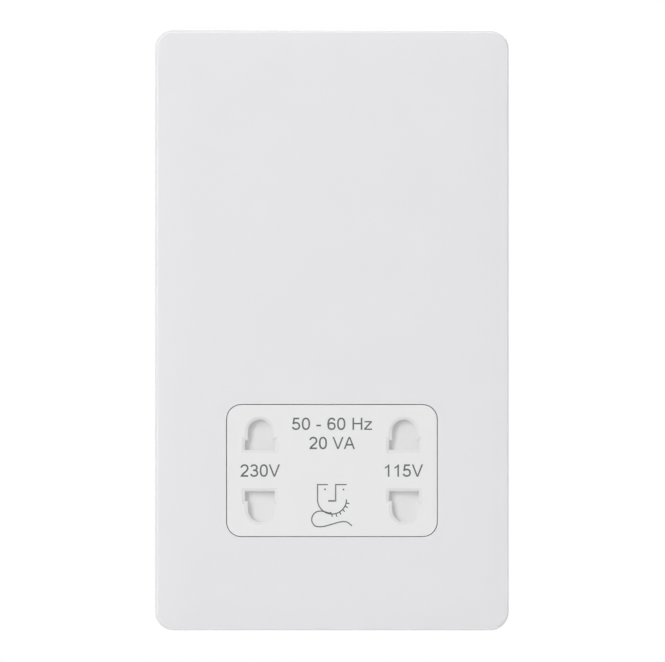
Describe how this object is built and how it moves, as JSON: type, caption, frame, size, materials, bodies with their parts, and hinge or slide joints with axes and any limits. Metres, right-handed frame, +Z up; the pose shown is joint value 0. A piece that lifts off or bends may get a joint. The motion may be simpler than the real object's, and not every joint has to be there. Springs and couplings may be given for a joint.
{
  "type": "shaver socket",
  "caption": "Wall-mounted shaver supply outlet: upright clip-on cover plate with shuttered pin apertures in a flush label panel, and an isolating transformer in a vented cover behind.",
  "frame": {"origin": "centre of the plate's outline, in the plane of the wall", "axes": "+X to the right seen from the room, +Y into the wall, +Z up"},
  "size_m": [0.086, 0.0483, 0.146],
  "materials": {
    "plate_plastic": "satin moulded urea, white",
    "panel_plastic": "satin moulded polycarbonate, white",
    "shutter_plastic": "satin moulded acetal, white",
    "frame_plastic": "moulded polycarbonate, off white",
    "body_plastic": "moulded nylon, off white",
    "cover_plastic": "moulded polycarbonate, off white",
    "block_plastic": "moulded nylon, pale grey",
    "bobbin_plastic": "glass-filled nylon, black",
    "cutout_plastic": "moulded phenolic, dark",
    "spring_steel": "bright spring wire",
    "screw_steel": "zinc-plated",
    "core_steel": "stacked silicon steel, lightly oiled",
    "contact_brass": "formed strip",
    "terminal_brass": "machined",
    "winding_copper": "enamelled copper wire under yellow polyester tape",
    "lead_brown": "PVC insulation, brown",
    "lead_blue": "PVC insulation, blue",
    "lead_black": "PVC insulation, black",
    "lead_white": "PVC insulation, white",
    "lead_red": "PVC insulation, red"
  },
  "bodies": {
    "outlet": {"front_plate": "plate_plastic", "mounting_frame": "frame_plastic", "outlet_cover": "panel_plastic", "outlet_body": "body_plastic", "shutter_spring_230": "spring_steel", "contact_230_upper": "contact_brass", "contact_230_lower": "contact_brass", "shutter_spring_115": "spring_steel", "contact_115_upper": "contact_brass", "contact_115_lower": "contact_brass", "common_link": "contact_brass", "transformer_core": "core_steel", "bobbin": "bobbin_plastic", "primary_winding": "winding_copper", "secondary_winding": "winding_copper", "thermal_cutout": "cutout_plastic", "rear_cover": "cover_plastic", "terminal_block": "block_plastic", "terminal_live": "terminal_brass", "terminal_earth": "terminal_brass", "terminal_neutral": "terminal_brass", "cover_screws": "screw_steel", "core_screws": "screw_steel", "terminal_screws": "screw_steel", "lead_live": "lead_brown", "lead_neutral": "lead_blue", "lead_common": "lead_black", "lead_230": "lead_red", "lead_115": "lead_white"},
    "shutter_230": {"shutter_230": "shutter_plastic"},
    "shutter_115": {"shutter_115": "shutter_plastic"}
  },
  "joints": [
    {"name": "shutter_230_slide", "type": "slide", "parent": "outlet", "child": "shutter_230", "axis": [0.7071, 0.7071, 0], "range_m": [0, 0.01138], "stiffness_N_per_m": 60, "springref_m": -0.008, "deforming": ["shutter_spring_230"]},
    {"name": "shutter_115_slide", "type": "slide", "parent": "outlet", "child": "shutter_115", "axis": [-0.7071, 0.7071, 0], "range_m": [0, 0.01138], "stiffness_N_per_m": 60, "springref_m": -0.008, "deforming": ["shutter_spring_115"]}
  ]
}
